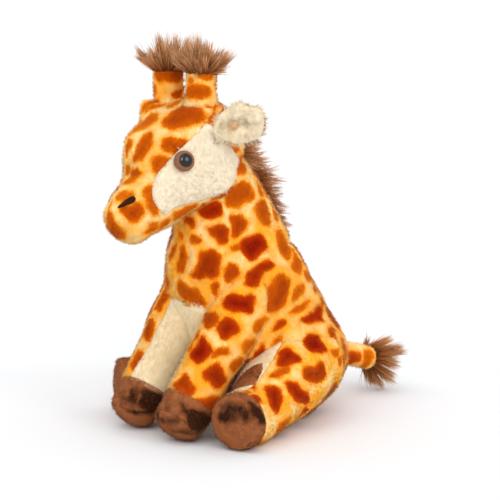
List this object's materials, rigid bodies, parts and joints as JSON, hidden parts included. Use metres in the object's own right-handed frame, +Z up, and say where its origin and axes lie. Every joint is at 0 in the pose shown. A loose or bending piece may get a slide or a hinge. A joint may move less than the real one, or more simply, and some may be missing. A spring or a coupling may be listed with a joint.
{
  "type": "sitting plush giraffe",
  "caption": "Stuffed fabric giraffe that sits with its legs out in front: jointed neck, head, ears, horns, legs and tail, domed eyes and yarn tufts.",
  "frame": {"origin": "centre of the flat underside of the seat, on the surface it sits on", "axes": "+Z up, the face looks along -Y, the giraffe's left side is +X"},
  "size_m": [0.1526, 0.2304, 0.234],
  "materials": {
    "spotted_plush": "short pile plush, yellow with brown patches",
    "cream_plush": "short pile plush, cream",
    "brown_plush": "short pile plush, brown",
    "brown_yarn": "long brushed pile, brown",
    "dark_fabric": "dark stitched fabric",
    "eye_plastic": "polished brown plastic with a black pupil",
    "washer_plastic": "moulded, natural",
    "stuffing": "polyester fibre",
    "pellets": "cloth pouch of pellets"
  },
  "bodies": {
    "torso": {"body_skin": "spotted_plush", "belly_panel": "cream_plush", "seat_panel": "brown_plush", "pellet_pouch": "pellets", "body_filling": "stuffing"},
    "neck": {"neck_skin": "spotted_plush", "neck_filling": "stuffing", "mane_neck": "brown_yarn"},
    "head": {"head_skin": "spotted_plush", "head_filling": "stuffing", "mane_head": "brown_yarn", "cheek_patch_left": "cream_plush", "cheek_patch_right": "cream_plush", "eye_left": "eye_plastic", "eye_right": "eye_plastic", "eye_washer_left": "washer_plastic", "eye_washer_right": "washer_plastic", "nostril_left": "dark_fabric", "nostril_right": "dark_fabric"},
    "horn_left": {"horn_left": "spotted_plush", "horn_filling_left": "stuffing", "horn_tuft_left": "brown_yarn"},
    "horn_right": {"horn_right": "spotted_plush", "horn_filling_right": "stuffing", "horn_tuft_right": "brown_yarn"},
    "ear_left": {"ear_lining_left": "cream_plush", "ear_back_left": "spotted_plush"},
    "ear_right": {"ear_lining_right": "cream_plush", "ear_back_right": "spotted_plush"},
    "hind_leg_left": {"hind_leg_left_skin": "spotted_plush", "hind_leg_left_lining": "cream_plush", "hind_leg_left_hoof": "brown_plush", "hind_leg_left_sole": "brown_plush", "hind_leg_left_filling": "stuffing"},
    "hind_leg_right": {"hind_leg_right_skin": "spotted_plush", "hind_leg_right_lining": "cream_plush", "hind_leg_right_hoof": "brown_plush", "hind_leg_right_sole": "brown_plush", "hind_leg_right_filling": "stuffing"},
    "front_leg_left": {"front_leg_left_skin": "spotted_plush", "front_leg_left_lining": "cream_plush", "front_leg_left_hoof": "brown_plush", "front_leg_left_sole": "brown_plush", "front_leg_left_filling": "stuffing"},
    "front_leg_right": {"front_leg_right_skin": "spotted_plush", "front_leg_right_lining": "cream_plush", "front_leg_right_hoof": "brown_plush", "front_leg_right_sole": "brown_plush", "front_leg_right_filling": "stuffing"},
    "tail": {"tail_skin": "spotted_plush", "tail_filling": "stuffing", "tail_tuft": "brown_yarn"}
  },
  "joints": [
    {"name": "neck_bend", "type": "hinge", "parent": "torso", "child": "neck", "pos_m": [0, -0.0408, 0.1258], "axis": [1, 0, 0], "range_deg": [-10, 12], "stiffness_Nm_per_rad": 1},
    {"name": "head_turn", "type": "hinge", "parent": "neck", "child": "head", "pos_m": [0, -0.06, 0.1695], "axis": [0, 0, 1], "range_deg": [-12, 12], "stiffness_Nm_per_rad": 0.5},
    {"name": "horn_lean_left", "type": "hinge", "parent": "head", "child": "horn_left", "pos_m": [0.0155, -0.0665, 0.1907], "axis": [1, 0, 0], "range_deg": [-7, 7], "stiffness_Nm_per_rad": 0.05},
    {"name": "horn_lean_right", "type": "hinge", "parent": "head", "child": "horn_right", "pos_m": [-0.0155, -0.0665, 0.1907], "axis": [1, 0, 0], "range_deg": [-7, 7], "stiffness_Nm_per_rad": 0.05},
    {"name": "ear_flap_left", "type": "hinge", "parent": "head", "child": "ear_left", "pos_m": [0.025, -0.06, 0.18], "axis": [0, 0, 1], "range_deg": [-15, 15], "stiffness_Nm_per_rad": 0.02},
    {"name": "ear_flap_right", "type": "hinge", "parent": "head", "child": "ear_right", "pos_m": [-0.025, -0.06, 0.18], "axis": [0, 0, -1], "range_deg": [-15, 15], "stiffness_Nm_per_rad": 0.02},
    {"name": "hind_leg_splay_left", "type": "hinge", "parent": "torso", "child": "hind_leg_left", "pos_m": [0.042, 0.004, 0.035], "axis": [0, 0, 1], "range_deg": [0, 15], "stiffness_Nm_per_rad": 0.3},
    {"name": "hind_leg_splay_right", "type": "hinge", "parent": "torso", "child": "hind_leg_right", "pos_m": [-0.042, 0.009, 0.035], "axis": [0, 0, -1], "range_deg": [0, 15], "stiffness_Nm_per_rad": 0.3},
    {"name": "front_leg_swing_left", "type": "hinge", "parent": "torso", "child": "front_leg_left", "pos_m": [0.025, -0.052, 0.079], "axis": [-1, 0, 0], "range_deg": [0, 20], "stiffness_Nm_per_rad": 0.3},
    {"name": "front_leg_swing_right", "type": "hinge", "parent": "torso", "child": "front_leg_right", "pos_m": [-0.025, -0.052, 0.079], "axis": [-1, 0, 0], "range_deg": [0, 20], "stiffness_Nm_per_rad": 0.3},
    {"name": "tail_swing", "type": "hinge", "parent": "torso", "child": "tail", "pos_m": [0, 0.0408, 0.031], "axis": [0, 0, 1], "range_deg": [-22, 22], "stiffness_Nm_per_rad": 0.05}
  ]
}
